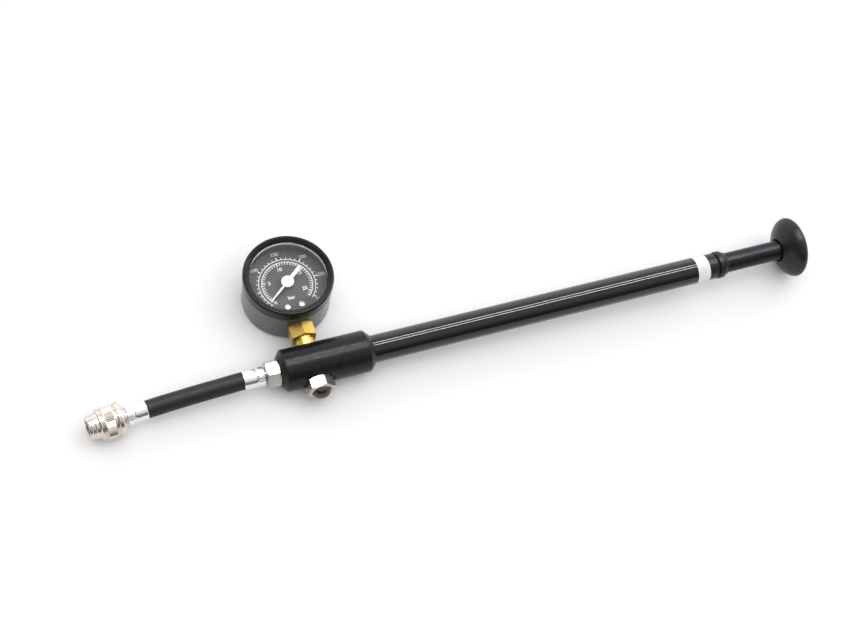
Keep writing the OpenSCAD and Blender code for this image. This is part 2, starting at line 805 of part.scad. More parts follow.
// Knurled grip pressed over the body; its rear lip keeps the stem in
module chuck_collar() {
  color([0.8, 0.77, 0.74]) at_chuck() rotate_extrude() polygon([
    [4.3, collar_w[0]], [6.6, collar_w[0]], [collar_r - 0.25, 11.2], [collar_r, 11.7],
    [collar_r, 13.2], [collar_r - 0.3, 13.5], [6.7, 13.7], [6.7, 14.1], [collar_r - 0.1, 14.4],
    [collar_r - 0.1, 19.2], [6.7, 19.5], [6.7, 19.9], [collar_r - 0.35, 20.2],
    [collar_r - 0.35, 21], [collar_r - 0.7, collar_w[1]], [cup_r, collar_w[1]], [cup_r, 13.4],
    [4.3, 13.4],
  ]);
}

module chuck_seal() {
  color([0.15, 0.15, 0.15]) at_chuck() translate([0, 0, 16.4]) difference() {
    cylinder(r = 3.8, h = 2.2);
    translate([0, 0, -1]) cylinder(r = 1.5, h = 4);
  }
}

// Pin that opens the valve's core, on a pierced disc
module depressor_pin() {
  color([0.8, 0.65, 0.3]) at_chuck() difference() {
    union() {
      translate([0, 0, 15.3]) cylinder(r = 1.95, h = 0.9);
      translate([0, 0, 15.3]) cylinder(r = 0.6, h = 3.8);
    }
    for (k = [0 : 2]) rotate(k * 120) translate([1.2, 0, 14]) cylinder(r = 0.4, h = 3, $fn = 24);
  }
}

// ---------------------------------------------------------------- output

body_block();
barrel();
white_ring();
gland_nut();
rod_bush();
rod_wiper();
bumper_ring();
seat_gasket();
valve_seat();
check_poppet();
check_seal();
check_spring();
piston_rod();
piston();
piston_o_ring();
knob();
knob_stud();
gauge_case();
gauge_bezel();
gauge_window();
window_gasket();
dial_plate();
dial_screws();
gauge_socket();
gauge_gasket();
bourdon_tube();
tube_tip();
movement_plates();
movement_pillars();
sector_gear();
sector_link();
pinion_shaft();
hair_spring();
pointer();
bleed_nut();
bleed_button();
bleed_spring();
bleed_o_ring();
hose_nut();
hose_port_seal();
hose_ferrule();
hose();
chuck_ferrule();
chuck_stem();
chuck_body();
chuck_collar();
chuck_seal();
depressor_pin();
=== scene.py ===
"""Looks of the shock suspension pump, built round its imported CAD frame.

Turned pieces are drawn in millimetres as [radius, height] profiles round their own Z axis,
then placed by one of the frames below. Lengths in the row frame are metres.
"""
import json
import math

import bmesh
import bpy
from mathutils import Matrix, Vector


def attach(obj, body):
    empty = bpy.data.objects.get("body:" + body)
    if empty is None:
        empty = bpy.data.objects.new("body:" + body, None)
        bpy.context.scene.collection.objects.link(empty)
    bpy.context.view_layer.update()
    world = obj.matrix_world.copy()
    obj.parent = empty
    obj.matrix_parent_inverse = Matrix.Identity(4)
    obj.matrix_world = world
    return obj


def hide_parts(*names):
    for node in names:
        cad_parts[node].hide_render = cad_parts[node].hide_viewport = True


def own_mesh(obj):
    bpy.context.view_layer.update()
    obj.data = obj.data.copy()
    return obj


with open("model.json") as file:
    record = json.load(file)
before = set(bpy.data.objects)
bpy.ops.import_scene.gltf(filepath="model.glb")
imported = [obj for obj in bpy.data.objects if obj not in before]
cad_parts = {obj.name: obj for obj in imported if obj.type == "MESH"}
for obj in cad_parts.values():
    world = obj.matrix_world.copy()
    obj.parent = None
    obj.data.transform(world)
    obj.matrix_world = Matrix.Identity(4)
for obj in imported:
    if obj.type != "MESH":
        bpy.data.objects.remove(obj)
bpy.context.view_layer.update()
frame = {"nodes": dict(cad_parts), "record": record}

MM = 0.001

# ------------------------------------------------------------------ frames

# The pump rests on the head's edge and on the knob's rim
REST_X, REST_R, KNOB_X, KNOB_R = -13.5, 9.5, 241, 14.35
TILT = math.atan((KNOB_R - REST_R) / (KNOB_X - REST_X))
LIFT = REST_R * math.cos(TILT) - REST_X * math.sin(TILT)
MIDDLE = Vector((-106.945, -21.45, 0))
GAUGE_Y = 39.4
CHUCK_FROM = Vector((-75.5, -1.95, 7.5))
CHUCK_HEADING = math.radians(185.32)

BENCH = Matrix.Translation(MIDDLE * MM)
PUMP = BENCH @ Matrix.Translation((0, 0, LIFT * MM)) @ Matrix.Rotation(-TILT, 4, "Y")
ALONG_X = PUMP @ Matrix.Rotation(math.pi / 2, 4, "Y")
ALONG_Y = PUMP @ Matrix.Rotation(-math.pi / 2, 4, "X")
DIAL = PUMP @ Matrix.Translation((0, GAUGE_Y * MM, 0))
CHUCK = (BENCH @ Matrix.Translation(CHUCK_FROM * MM) @ Matrix.Rotation(CHUCK_HEADING, 4, "Z")
         @ Matrix.Rotation(math.pi / 2, 4, "Y"))


# ------------------------------------------------------------------ camera

CAMERA_AT = (-0.160235, -0.310258, 0.661848)
HEADING, ELEVATION, ROLL = math.radians(-34.215), math.radians(59.053), math.radians(17.238)


def make_camera():
    data = bpy.data.cameras.new("camera")
    data.lens = 70
    data.sensor_width = 36
    data.clip_start = 0.01
    cam = bpy.data.objects.new("camera", data)
    bpy.context.scene.collection.objects.link(cam)
    cam.matrix_world = (
        BENCH @ Matrix.Translation(CAMERA_AT)
        @ Matrix.Rotation(HEADING, 4, "Z")
        @ Matrix.Rotation(math.pi / 2 - ELEVATION, 4, "X")
        @ Matrix.Rotation(ROLL, 4, "Z"))
    bpy.context.scene.camera = cam
    bpy.context.scene.view_settings.view_transform = "Standard"


make_camera()


# ------------------------------------------------------------------ materials

def colour(rgb):
    return (*rgb, 1.0)


class Finish:
    """One procedural material: a Principled shader fed by noise in the object's own space."""

    def __init__(self, name, base, roughness, metallic=0.0, **sockets):
        self.material = bpy.data.materials.new(name)
        self.material.use_nodes = True
        self.tree = self.material.node_tree
        self.shader = self.tree.nodes["Principled BSDF"]
        self.shader.inputs["Base Color"].default_value = colour(base)
        self.shader.inputs["Roughness"].default_value = roughness
        self.shader.inputs["Metallic"].default_value = metallic
        for socket, value in sockets.items():
            self.shader.inputs[socket.replace("_", " ")].default_value = value
        self.coords = self.tree.nodes.new("ShaderNodeTexCoord")

    def link(self, a, b):
        self.tree.links.new(a, b)

    def noise(self, scale, stretch=(1, 1, 1), detail=4, contrast=(0.3, 0.7)):
        """Noise from 0 to 1. scale is in features per metre, stretch multiplies it per axis."""
        mapping = self.tree.nodes.new("ShaderNodeMapping")
        mapping.inputs["Scale"].default_value = stretch
        self.link(self.coords.outputs["Object"], mapping.inputs["Vector"])
        texture = self.tree.nodes.new("ShaderNodeTexNoise")
        texture.inputs["Scale"].default_value = scale
        texture.inputs["Detail"].default_value = detail
        self.link(mapping.outputs["Vector"], texture.inputs["Vector"])
        level = self.tree.nodes.new("ShaderNodeMapRange")
        level.inputs["From Min"].default_value = contrast[0]
        level.inputs["From Max"].default_value = contrast[1]
        self.link(texture.outputs["Fac"], level.inputs["Value"])
        return level.outputs["Result"]

    def vary_colour(self, fac, other):
        mix = self.tree.nodes.new("ShaderNodeMix")
        mix.data_type = "RGBA"
        source = self.shader.inputs["Base Color"]
        if source.is_linked:
            self.link(source.links[0].from_socket, mix.inputs["A"])
        else:
            mix.inputs["A"].default_value = source.default_value
        mix.inputs["B"].default_value = colour(other)
        self.link(fac, mix.inputs["Factor"])
        self.link(mix.outputs["Result"], source)
        return self

    def vary_roughness(self, fac, low, high):
        level = self.tree.nodes.new("ShaderNodeMapRange")
        level.inputs["To Min"].default_value = low
        level.inputs["To Max"].default_value = high
        self.link(fac, level.inputs["Value"])
        self.link(level.outputs["Result"], self.shader.inputs["Roughness"])
        return self

    def bump(self, fac, depth):
        """depth is the height of the relief in metres."""
        node = self.tree.nodes.new("ShaderNodeBump")
        node.inputs["Strength"].default_value = 1.0
        node.inputs["Distance"].default_value = depth
        self.link(fac, node.inputs["Height"])
        self.link(node.outputs["Normal"], self.shader.inputs["Normal"])
        return self


TURNED = (0.02, 0.02, 1)     # rings round the piece's own Z axis
DRAWN = (1, 1, 0.03)         # scratches along it


def plain_metal(name, base, darker, roughness, stretch=TURNED, depth=0.0000008):
    """Bare metal with tool marks, a little tarnish and uneven polish."""
    f = Finish(name, base, roughness, metallic=1.0)
    f.vary_colour(f.noise(320, detail=7, contrast=(0.45, 0.95)), darker)
    f.vary_roughness(f.noise(1500, stretch, detail=5), roughness * 0.85, roughness * 1.3)
    f.bump(f.noise(6000, stretch, detail=2), depth)
    return f.material


def painted(name, base, lighter, roughness, grain, depth, coat=0.0, gloss=0.5):
    """Paint, anodising or moulded plastic: fine grain, faint handling marks."""
    f = Finish(name, base, roughness, Coat_Weight=coat, Coat_Roughness=0.06,
               Specular_IOR_Level=gloss)
    f.vary_colour(f.noise(420, detail=8, contrast=(0.45, 0.8)), lighter)
    f.vary_roughness(f.noise(140, detail=6), roughness * 0.92, roughness * 1.12)
    f.bump(f.noise(grain, detail=3), depth)
    return f.material


def rubber(name, base, lighter, roughness):
    f = Finish(name, base, roughness, Specular_IOR_Level=0.33)
    f.vary_colour(f.noise(700, detail=8, contrast=(0.5, 0.85)), lighter)
    f.vary_roughness(f.noise(300, detail=4), roughness * 0.85, roughness * 1.15)
    f.bump(f.noise(3500, detail=4), 0.00004)
    return f.material


def glass(name):
    """Clear plastic that lamps shine through."""
    f = Finish(name, (0.98, 0.99, 0.99), 0.0, Transmission_Weight=1.0, IOR=1.45)
    f.vary_roughness(f.noise(160, detail=6, contrast=(0.4, 0.8)), 0.0, 0.02)
    nodes = f.tree.nodes
    rays, clear = nodes.new("ShaderNodeLightPath"), nodes.new("ShaderNodeBsdfTransparent")
    mix = nodes.new("ShaderNodeMixShader")
    f.link(rays.outputs["Is Shadow Ray"], mix.inputs["Fac"])
    f.link(f.shader.outputs["BSDF"], mix.inputs[1])
    f.link(clear.outputs["BSDF"], mix.inputs[2])
    f.link(mix.outputs["Shader"], nodes["Material Output"].inputs["Surface"])
    return f.material


MATERIALS = {
    "black_anodised": painted("anodised_black", (0.007, 0.007, 0.008), (0.014, 0.014, 0.015),
                              0.28, 5200, 0.000006, gloss=0.25),
    "gloss_black": painted("gloss_black", (0.006, 0.006, 0.007), (0.01, 0.01, 0.011),
                           0.1, 900, 0.000001, coat=0.75, gloss=0.15),
    "white_plastic": painted("white_plastic", (0.87, 0.87, 0.86), (0.80, 0.80, 0.78),
                             0.38, 2600, 0.00001),
    "black_plastic": painted("black_plastic", (0.010, 0.010, 0.010), (0.02, 0.02, 0.02),
                             0.30, 4200, 0.00001, gloss=0.33),
    "black_rubber": rubber("black_rubber", (0.011, 0.011, 0.011), (0.022, 0.022, 0.022), 0.47),
    "dark_anodised": plain_metal("dark_anodised", (0.032, 0.032, 0.036), (0.022, 0.022, 0.026),
                                 0.34, DRAWN),
    "steel": plain_metal("steel", (0.58, 0.57, 0.56), (0.42, 0.41, 0.40), 0.28),
    "brass": plain_metal("brass", (0.62, 0.43, 0.12), (0.50, 0.33, 0.07), 0.27, depth=0.000003),
    "nickel": plain_metal("nickel", (0.74, 0.68, 0.62), (0.62, 0.55, 0.49), 0.2),
    "aluminium": plain_metal("aluminium", (0.88, 0.88, 0.89), (0.78, 0.78, 0.80), 0.2),
    "case_black": painted("case_black", (0.062, 0.062, 0.066), (0.08, 0.08, 0.085),
                          0.34, 3000, 0.00001, coat=0.3),
    "bezel_black": painted("bezel_black", (0.004, 0.004, 0.004), (0.007, 0.007, 0.007),
                           0.2, 1500, 0.000004, coat=0.1, gloss=0.2),
    "window": glass("window"),
    "dial": painted("dial_grey", (0.04, 0.04, 0.042), (0.05, 0.05, 0.052), 0.6, 6000, 0.000008,
                    gloss=0.15),
    "nut_nickel": plain_metal("nut_nickel", (0.53, 0.495, 0.46), (0.44, 0.405, 0.37), 0.26),
    "button_dark": plain_metal("button_dark", (0.09, 0.075, 0.068), (0.07, 0.06, 0.054), 0.2),
    # Light grey: partly the window seal's own colour, partly a painted reflection for the bright
    # crescent under the bezel
    "grey_rubber": rubber("grey_rubber", (0.5, 0.5, 0.5), (0.58, 0.58, 0.58), 0.5),
    "ink_faint": painted("ink_faint", (0.42, 0.42, 0.42), (0.36, 0.36, 0.36), 0.5, 2600, 0.000004),
    "pointer_white": painted("pointer_white", (0.60, 0.585, 0.55), (0.50, 0.48, 0.44),
                             0.4, 2600, 0.000008, gloss=0.3),
    "red_fibre": painted("red_fibre", (0.30, 0.09, 0.05), (0.20, 0.06, 0.04), 0.7, 2600, 0.00002),
}


# ------------------------------------------------------------------ mesh tools

SHARP_ANGLE = math.radians(32)


def finish_piece(mesh, name, place, body, slot, replaces=()):
    """Puts a mesh in the scene as a named piece, with its finish, body and the nodes it shows."""
    obj = bpy.data.objects.new(name, mesh)
    bpy.context.scene.collection.objects.link(obj)
    obj.matrix_world = place
    mesh.materials.append(MATERIALS[slot])
    mesh.shade_smooth()
    mesh.set_sharp_from_angle(angle=SHARP_ANGLE)
    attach(obj, body)
    if replaces:
        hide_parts(*replaces)
    return obj


def mesh_from(name, points, faces):
    """Mesh in metres from points in millimetres, with its faces turned outwards."""
    mesh = bpy.data.meshes.new(name)
    bm = bmesh.new()
    verts = [bm.verts.new([c * MM for c in p]) for p in points]
    for face in faces:
        bm.faces.new([verts[i] for i in face])
    bmesh.ops.recalc_face_normals(bm, faces=bm.faces)
    bm.to_mesh(mesh)
    bm.free()
    return mesh


def rounded(profile, closed):
    """The profile as points: a corner given as (r, z, radius) becomes a small arc."""
    arc_steps, most_of_side = 4, 0.49
    out, n = [], len(profile)
    for i, corner in enumerate(profile):
        r, z = corner[:2]
        radius = corner[2] if len(corner) > 2 else 0
        if not radius or (not closed and i in (0, n - 1)):
            out.append((r, z))
            continue
        here = Vector((r, z))
        before = Vector(profile[i - 1][:2]) - here
        after = Vector(profile[(i + 1) % n][:2]) - here
        angle = before.angle(after)
        reach = min(radius / math.tan(angle / 2), before.length * most_of_side,
                    after.length * most_of_side)
        a, b = here + before.normalized() * reach, here + after.normalized() * reach
        for k in range(arc_steps + 1):
            t = k / arc_steps
            out.append(tuple((1 - t) ** 2 * a + 2 * t * (1 - t) * here + t ** 2 * b))
    return out


def turned_mesh(name, profile, steps=96, closed=True, ripple=None):
    """A profile of (radius, height) turned round Z. ripple(angle, r, z) moves the surface out."""
    line = rounded(profile, closed)
    points, rings = [], []
    for r, z in line:
        if r < 1e-6:
            points.append((0, 0, z))
            rings.append([len(points) - 1] * steps)
            continue
        start = len(points)
        for k in range(steps):
            a = 2 * math.pi * k / steps
            rr = r + (ripple(a, r, z) if ripple else 0)
            points.append((rr * math.cos(a), rr * math.sin(a), z))
        rings.append(list(range(start, start + steps)))
    faces = []
    count = len(rings)
    for i in range(count if closed else count - 1):
        a, b = rings[i], rings[(i + 1) % count]
        if a[0] == a[1] and b[0] == b[1]:
            continue
        for k in range(steps):
            n = (k + 1) % steps
            corners = list(dict.fromkeys([a[k], a[n], b[n], b[k]]))
            if len(corners) > 2:
                faces.append(corners)
    return mesh_from(name, points, faces)


def turned(name, profile, place, body, slot, replaces=(), **options):
    return finish_piece(turned_mesh(name, profile, **options), name, place, body, slot, replaces)


def hexagon_points(across_flats, corner_round):
    """Outline of a hexagon with rounded corners, its flats facing along local X."""
    corner_steps, flat_steps = 4, 6
    to_centre = (across_flats / 2 - corner_round) / math.cos(math.radians(30))

    def on_corner(k, lean):
        """Point of corner k's arc, that many degrees from its middle."""
        middle = math.radians(30 + 60 * k)
        a = middle + math.radians(lean)
        return (to_centre * math.cos(middle) + corner_round * math.cos(a),
                to_centre * math.sin(middle) + corner_round * math.sin(a))

    points = []
    for k in range(6):
        points += [on_corner(k, -30 + 60 * j / corner_steps) for j in range(corner_steps + 1)]
        (ax, ay), (bx, by) = points[-1], on_corner(k + 1, -30)
        points += [(ax + (bx - ax) * j / flat_steps, ay + (by - ay) * j / flat_steps)
                   for j in range(1, flat_steps)]
    return points


def hexagon_mesh(name, across_flats, low, high, bore_low, bore_high, cone=0.55, corner_round=0.25,
                 sink=0.0):
    """Nut-like hexagon from low to high, its corners turned off and its low bore countersunk."""
    outline = hexagon_points(across_flats, corner_round)
    n = len(outline)
    face_r = across_flats / 2 - 0.2
    points, rings = [], []

    def ring(z_of, r_of):
        start = len(points)
        for x, y in outline:
            r = math.hypot(x, y)
            rr = r_of(r)
            points.append((x / r * rr, y / r * rr, z_of(r)))
        rings.append(range(start, start + n))

    if sink:
        ring(lambda r: low + sink, lambda r: bore_low)
    ring(lambda r: low, lambda r: bore_low + sink)
    ring(lambda r: low, lambda r: min(r, face_r))
    ring(lambda r: low + max(0, r - face_r) * cone, lambda r: r)
    ring(lambda r: high - max(0, r - face_r) * cone, lambda r: r)
    ring(lambda r: high, lambda r: min(r, face_r))
    ring(lambda r: high, lambda r: bore_high)
    faces = []
    for i in range(len(rings)):
        a, b = rings[i], rings[(i + 1) % len(rings)]
        for k in range(n):
            m = (k + 1) % n
            faces.append((a[k], a[m], b[m], b[k]))
    return mesh_from(name, points, faces)


def joined(name, meshes):
    """Several closed meshes as one piece of one material."""
    bm = bmesh.new()
    for mesh in meshes:
        bm.from_mesh(mesh)
        bpy.data.meshes.remove(mesh)
    mesh = bpy.data.meshes.new(name)
    bm.to_mesh(mesh)
    bm.free()
    return mesh


def moved(mesh, matrix):
    mesh.transform(matrix)
    return mesh


def smooth_route(points, per_span):
    """Catmull-Rom curve through the points."""
    out = []
    for i in range(len(points) - 1):
        p0, p1 = points[max(i - 1, 0)], points[i]
        p2, p3 = points[i + 1], points[min(i + 2, len(points) - 1)]
        for k in range(per_span):
            t = k / per_span
            out.append(0.5 * (2 * p1 + (p2 - p0) * t + (2 * p0 - 5 * p1 + 4 * p2 - p3) * t ** 2
                              + (3 * p1 - p0 - 3 * p2 + p3) * t ** 3))
    return out + [points[-1]]


def tube_mesh(name, route, outer, inner, sides):
    """Pipe along a route, open at its bore, closed between its walls."""
    points, rings = [], []
    for radius in (outer, inner):
        for i, here in enumerate(route):
            ahead = (route[min(i + 1, len(route) - 1)] - route[max(i - 1, 0)]).normalized()
            side = Vector((0, 0, 1)).cross(ahead).normalized()
            up = ahead.cross(side)
            start = len(points)
            for k in range(sides):
                a = 2 * math.pi * k / sides
                points.append(here + radius * (math.cos(a) * side + math.sin(a) * up))
            rings.append(range(start, start + sides))
    count = len(route)
    order = rings[:count] + rings[count:][::-1]
    faces = []
    for i in range(len(order)):
        a, b = order[i], order[(i + 1) % len(order)]
        for k in range(sides):
            n = (k + 1) % sides
            faces.append((a[k], a[n], b[n], b[k]))
    return mesh_from(name, points, faces)


# ------------------------------------------------------------------ hose

HOSE_ROUTE = [
    (-22.6, 0, 9.33), (-27, 0, 9.25), (-32, 0, 9.14), (-36, -0.1, 9.02), (-40, -0.25, 8.88),
    (-44, -0.4, 8.72), (-48, -0.5, 8.55), (-52, -0.65, 8.38), (-56, -0.8, 8.2), (-60, -1, 8.03),
    (-64, -1.2, 7.87), (-68, -1.42, 7.72), (-71.8, -1.67, 7.6), (-75.5, -1.95, 7.52),
    (-79.9, -2.36, 7.5), (-84.3, -2.77, 7.5),
]
HOSE_R, HOSE_BORE = 4.0, 2.4
FERRULE_R = 4.35
NEAR_FERRULE_X = -31.9


def make_hose():
    route = smooth_route([Vector(p) for p in HOSE_ROUTE], 4)
    mesh = tube_mesh("hose_rubber", route, HOSE_R, HOSE_BORE, 48)
    hose = finish_piece(mesh, "hose_rubber", BENCH, "head", "black_rubber", ["hose"])
    return hose, route


def crimped(plain, length, dents):
    """Profile and dents of a ferrule: a plain length, a crimp, a bead and a turned-in end."""
    profile = [
        (HOSE_R + 0.02, 0, 0.08), (FERRULE_R - 0.12, 0, 0.08), (FERRULE_R, 0.25, 0.1),
        (FERRULE_R, plain - 0.15, 0.1), (FERRULE_R - 0.3, plain + 0.25, 0.15),
        (FERRULE_R - 0.3, plain + 0.55, 0.15), (FERRULE_R, plain + 0.95, 0.1),
        (FERRULE_R, length - 0.5, 0.3), (FERRULE_R - 0.5, length, 0.3), (3.36, length),
        (3.36, length - 0.28), (HOSE_R + 0.02, length - 0.28),
    ]

    def ripple(a, r, z):
        if r < FERRULE_R - 0.4 or z < plain + 0.95 or z > length - 0.45:
            return 0
        return -0.22 * max(0, math.cos(dents * a)) ** 3
    return profile, ripple


hose, route = make_hose()
near_profile, near_ripple = crimped(5.6, 9.7, 8)
turned("near_ferrule", near_profile, ALONG_X @ Matrix.Translation((0, 0, NEAR_FERRULE_X * MM)),
       "head", "aluminium", ["hose_ferrule"], ripple=near_ripple, steps=128)
far_profile, far_ripple = crimped(5.4, 9.2, 8)
far_ferrule = turned("far_ferrule", far_profile, CHUCK, "head", "aluminium",
                     ["chuck_ferrule"], ripple=far_ripple, steps=128)


# ------------------------------------------------------------------ chuck

def make_chuck():
    stem = turned("swivel_stem", [
        (1.2, 1), (1.7, 1), (2.2, 3), (1.8, 3), (2.2, 5), (1.8, 5), (2.2, 7), (1.8, 7),
        (1.8, 8.84), (3.3, 8.84), (3.3, 9.5), (5.0, 9.65, 0.2), (5.5, 10.05, 0.15),
        (5.5, 10.6, 0.1), (5.3, 10.7), (4.2, 10.7), (4.2, 13.5), (5.4, 13.5), (5.4, 16.4),
        (1.95, 16.4), (1.95, 15.3), (1.2, 15.3),
    ], CHUCK, "head", "nickel", ["chuck_stem"], steps=128)

    knurl_from, knurl_to, teeth, grip = 14.7, 19.0, 60, 7.35

    def knurl(a, r, z):
        if r < grip - 0.01 or not knurl_from <= z <= knurl_to:
            return 0
        tooth = abs((a * teeth / (2 * math.pi)) % 1 - 0.5) * 2
        return -0.2 * tooth * min(1, (z - knurl_from) / 0.3, (knurl_to - z) / 0.3)

    rows = [knurl_from + (knurl_to - knurl_from) * i / 32 for i in range(33)]
    collar = turned("knurled_collar", [
        (4.3, 10.8), (6.5, 10.8, 0.1), (7.15, 11.15, 0.2), (7.45, 11.7, 0.2), (7.45, 13.1, 0.15),
        (7.1, 13.5, 0.1), (6.7, 13.7, 0.08), (6.7, 14.1, 0.08), (grip, 14.4, 0.1),
        *[(grip, z) for z in rows],
        (grip, 19.2, 0.1), (6.7, 19.5, 0.08), (6.7, 19.9, 0.08), (7.1, 20.2, 0.1), (7.1, 21, 0.2),
        (6.75, 21.4, 0.1), (6.3, 21.4), (6.3, 13.4), (4.3, 13.4),
    ], CHUCK, "chuck", "nickel", ["chuck_collar"], ripple=knurl, steps=teeth * 6)

    thread = []
    pitch, turns = 0.79, 7
    for i in range(turns):
        top = 25.6 - i * pitch
        thread += [(3.9, top), (4.15, top - pitch / 2)]
    nose = turned("chuck_nose", [
        (5.5, 13.4), (6.3, 13.4), (6.3, 21.4), (5.9, 21.4, 0.1), (5.8, 21.6, 0.1),
        (5.8, 22.9, 0.1), (5.5, 23.2, 0.1), (5.5, 23.7, 0.05), (5.32, 23.85, 0.05), (5.32, 24.05, 0.05),
        (5.5, 24.2, 0.05), (5.5, 24.7, 0.1), (5.2, 25, 0.1), (5.2, 25.5, 0.2), (4.9, 26.1, 0.2),
        (4.15, 26.1, 0.1), (3.9, 25.8),
        *thread, (3.9, 19.5), (4.1, 19.5), (4.1, 16.5), (5.5, 16.5),
    ], CHUCK, "chuck", "nickel", ["chuck_body"], steps=128)
    return stem, collar, nose


stem, collar, nose = make_chuck()


# ------------------------------------------------------------------ head

def cut(obj, mesh, place):
    """Takes a closed mesh out of a piece, and applies the cut."""
    tool = bpy.data.objects.new("cutter", mesh)
    bpy.context.scene.collection.objects.link(tool)
    tool.matrix_world = place
    modifier = obj.modifiers.new("cut", "BOOLEAN")
    modifier.object = tool
    modifier.operation = "DIFFERENCE"
    modifier.solver = "EXACT"
    bpy.context.view_layer.update()
    graph = bpy.context.evaluated_depsgraph_get()
    result = bpy.data.meshes.new_from_object(obj.evaluated_get(graph), depsgraph=graph)
    obj.modifiers.clear()
    old, obj.data = obj.data, result
    bpy.data.meshes.remove(old)
    bpy.data.objects.remove(tool)
    result.shade_smooth()
    result.set_sharp_from_angle(angle=SHARP_ANGLE)


def make_body():
    """Round bar, bored for hose nut and barrel, with a side port for the bleed and the gauge."""
    body = turned("head_block", [
        (3.95, -15.6, 0.2), (6.8, -15.6, 0.3), (REST_R, REST_X, 0.4), (REST_R, 24.9, 0.4),
        (6.8, 27.6, 0.25), (6.36, 27.6, 0.1), (6.36, 10), (3, 10), (3, 3.5), (1.6, 3.5),
        (1.6, -7.5), (3.95, -7.5),
    ], ALONG_X, "head", "black_anodised", ["body_block"], steps=160)
    bleed_port = [(0, -12), (7.6, -12), (7.6, -8.7), (4, -8.7), (4, -4.2), (2.6, -4.2),
                  (2.6, -0.6), (0, -0.6)]
    gauge_port = [(0, 0.5), (1.2, 0.5), (1.2, 3.8), (4.8, 3.8), (4.8, 12), (0, 12)]
    for port in (bleed_port, gauge_port):
        cut(body, turned_mesh("port", port, closed=False), ALONG_Y)


make_body()

BARREL_R, BORE_R = 6.35, 5.45
RING_FROM, RING_TO = 188.7, 195

turned("barrel_tube", [
    (BORE_R, 13), (BARREL_R, 13), (BARREL_R, RING_FROM - 0.1, 0.1), (BARREL_R - 0.1, RING_FROM),
    (5.86, RING_FROM), (5.86, RING_TO), (BORE_R, RING_TO),
], ALONG_X, "head", "gloss_black", ["barrel"], steps=128)

ring_grooves = []
for at in (190.6, 191.7, 192.8, 193.9):
    ring_grooves += [(BARREL_R, at - 0.2), (6.1, at - 0.07),
                     (6.1, at + 0.07), (BARREL_R, at + 0.2)]
turned("white_collar", [
    (5.88, RING_FROM), (6.2, RING_FROM, 0.05), (BARREL_R, RING_FROM + 0.15, 0.1), *ring_grooves,
    (BARREL_R, RING_TO - 0.15, 0.1), (6.2, RING_TO, 0.05), (5.88, RING_TO),
], ALONG_X, "head", "white_plastic", ["white_ring"], steps=128)

turned("gland", [
    (4.76, 188), (BORE_R - 0.01, 188), (BORE_R - 0.01, RING_TO), (5.8, RING_TO, 0.1),
    (6.05, 195.6, 0.2), (6.05, 199.2, 0.25),
    (5.3, 199.5, 0.1), (5.3, 200.3, 0.1), (6.45, 200.65, 0.25), (6.45, 203, 0.35),
    (5.65, 204.05, 0.1), (5.5, 204.1), (4.76, 204.1),
], ALONG_X, "head", "black_plastic", ["gland_nut"], steps=128)

turned("wiper", [
    (4.73, 204.1), (5.5, 204.1), (5.35, 205.1, 0.15), (5.1, 205.4, 0.1), (4.9, 205.4, 0.05),
    (4.73, 205.2),
], ALONG_X, "head", "black_rubber", ["rod_wiper"], steps=128)


# ------------------------------------------------------------------ handle

turned("rod_tube", [(3.02, 49), (4.7, 49), (4.7, 240), (3.02, 240)],
       ALONG_X, "handle", "dark_anodised", ["piston_rod"], steps=128)


def make_knob():
    """Mushroom knob: two domes on one rim, with a loose throat round the rod."""
    front, back, front_power, back_power, steps = 7.7, 4.9, 1.7, 2.1, 36

    def depth(r, full, power):
        return full * (1 - (r / KNOB_R) ** power) ** (1 / power)

    radii = [KNOB_R * math.sin(math.pi / 2 * i / steps) for i in range(steps + 1)]
    throat = 4.72
    mouth_r = throat + 1
    outer = [(r, KNOB_X - depth(r, front, front_power)) for r in radii if r > mouth_r]
    back_side = [(r, KNOB_X + depth(r, back, back_power)) for r in reversed(radii[:-1])]
    back_side[-1] = (0, KNOB_X + back)
    mouth = [(2.5, 243), (2.5, 240), (throat, 240), (throat, 235.6), (throat + 0.75, 235.5),
             (throat + 0.85, 234.2)]
    turned("palm_knob", [*outer, *back_side, (0, 243), *mouth], ALONG_X, "handle",
           "black_plastic", ["knob"], closed=True, steps=160)


make_knob()


# ------------------------------------------------------------------ gauge

turned("case_cup", [
    (0, -9.35), (18.9, -9.35, 0.5), (19.2, -9.1, 0.3), (20.1, -8.3, 0.9), (20.1, 6.9, 0.2),
    (20.4, 7.15, 0.2), (20.4, 7.7, 0.2), (19.7, 7.9), (19.7, 8.4), (20.1, 8.5), (20.1, 9.4),
    (19.2, 9.4), (19.2, -7.9, 0.6), (18.6, -8.45), (0, -8.45),
], DIAL, "head", "case_black", ["gauge_case"], closed=False, steps=160)

turned("bezel_ring", [
    (20.1, 8.4), (20.35, 8.4, 0.1), (20.5, 8.7, 0.15), (20.5, 12.6, 0.5), (20.1, 13.4, 0.35),
    (19.3, 13.4, 0.3), (17.75, 12.4, 0.2), (17.5, 11.95), (17.9, 11.92), (20, 11.92), (20, 9.42),
    (20.1, 9.42),
], DIAL, "head", "bezel_black", ["gauge_bezel"], steps=160)

turned("window_disc", [(0, 10.6), (19.9, 10.6), (19.95, 11.9), (0, 11.9)], DIAL, "head",
       "window", ["gauge_window"], closed=False, steps=128)

# Window seal, a real part; its light grey also stands in for the crescent of reflected light under the
# bezel, so it is partly a painted reflection
turned("window_seal", [
    (17.65, 9.42, 0.08), (19.95, 9.42), (19.95, 10.58), (17.95, 10.58, 0.1), (17.95, 9.85, 0.1),
    (17.65, 9.72, 0.08),
], DIAL, "head", "grey_rubber", ["window_gasket"], steps=128)


# Dial: angles run clockwise from the stem, which points to -Y. Steps are degrees per unit
SCALE_ZERO, PSI_STEP, BAR_STEP = 39.3, 0.906, 13.1
SCALE_FROM, SCALE_TO = 45, 316
POINTER_REST = 51
BAR_RING, PSI_RING = 11.5, 12.85
INK_Z, INK_H = 4.3, 0.03


def dial_point(r, angle):
    a = math.radians(-90 - angle)
    return Vector((r * math.cos(a), r * math.sin(a)))


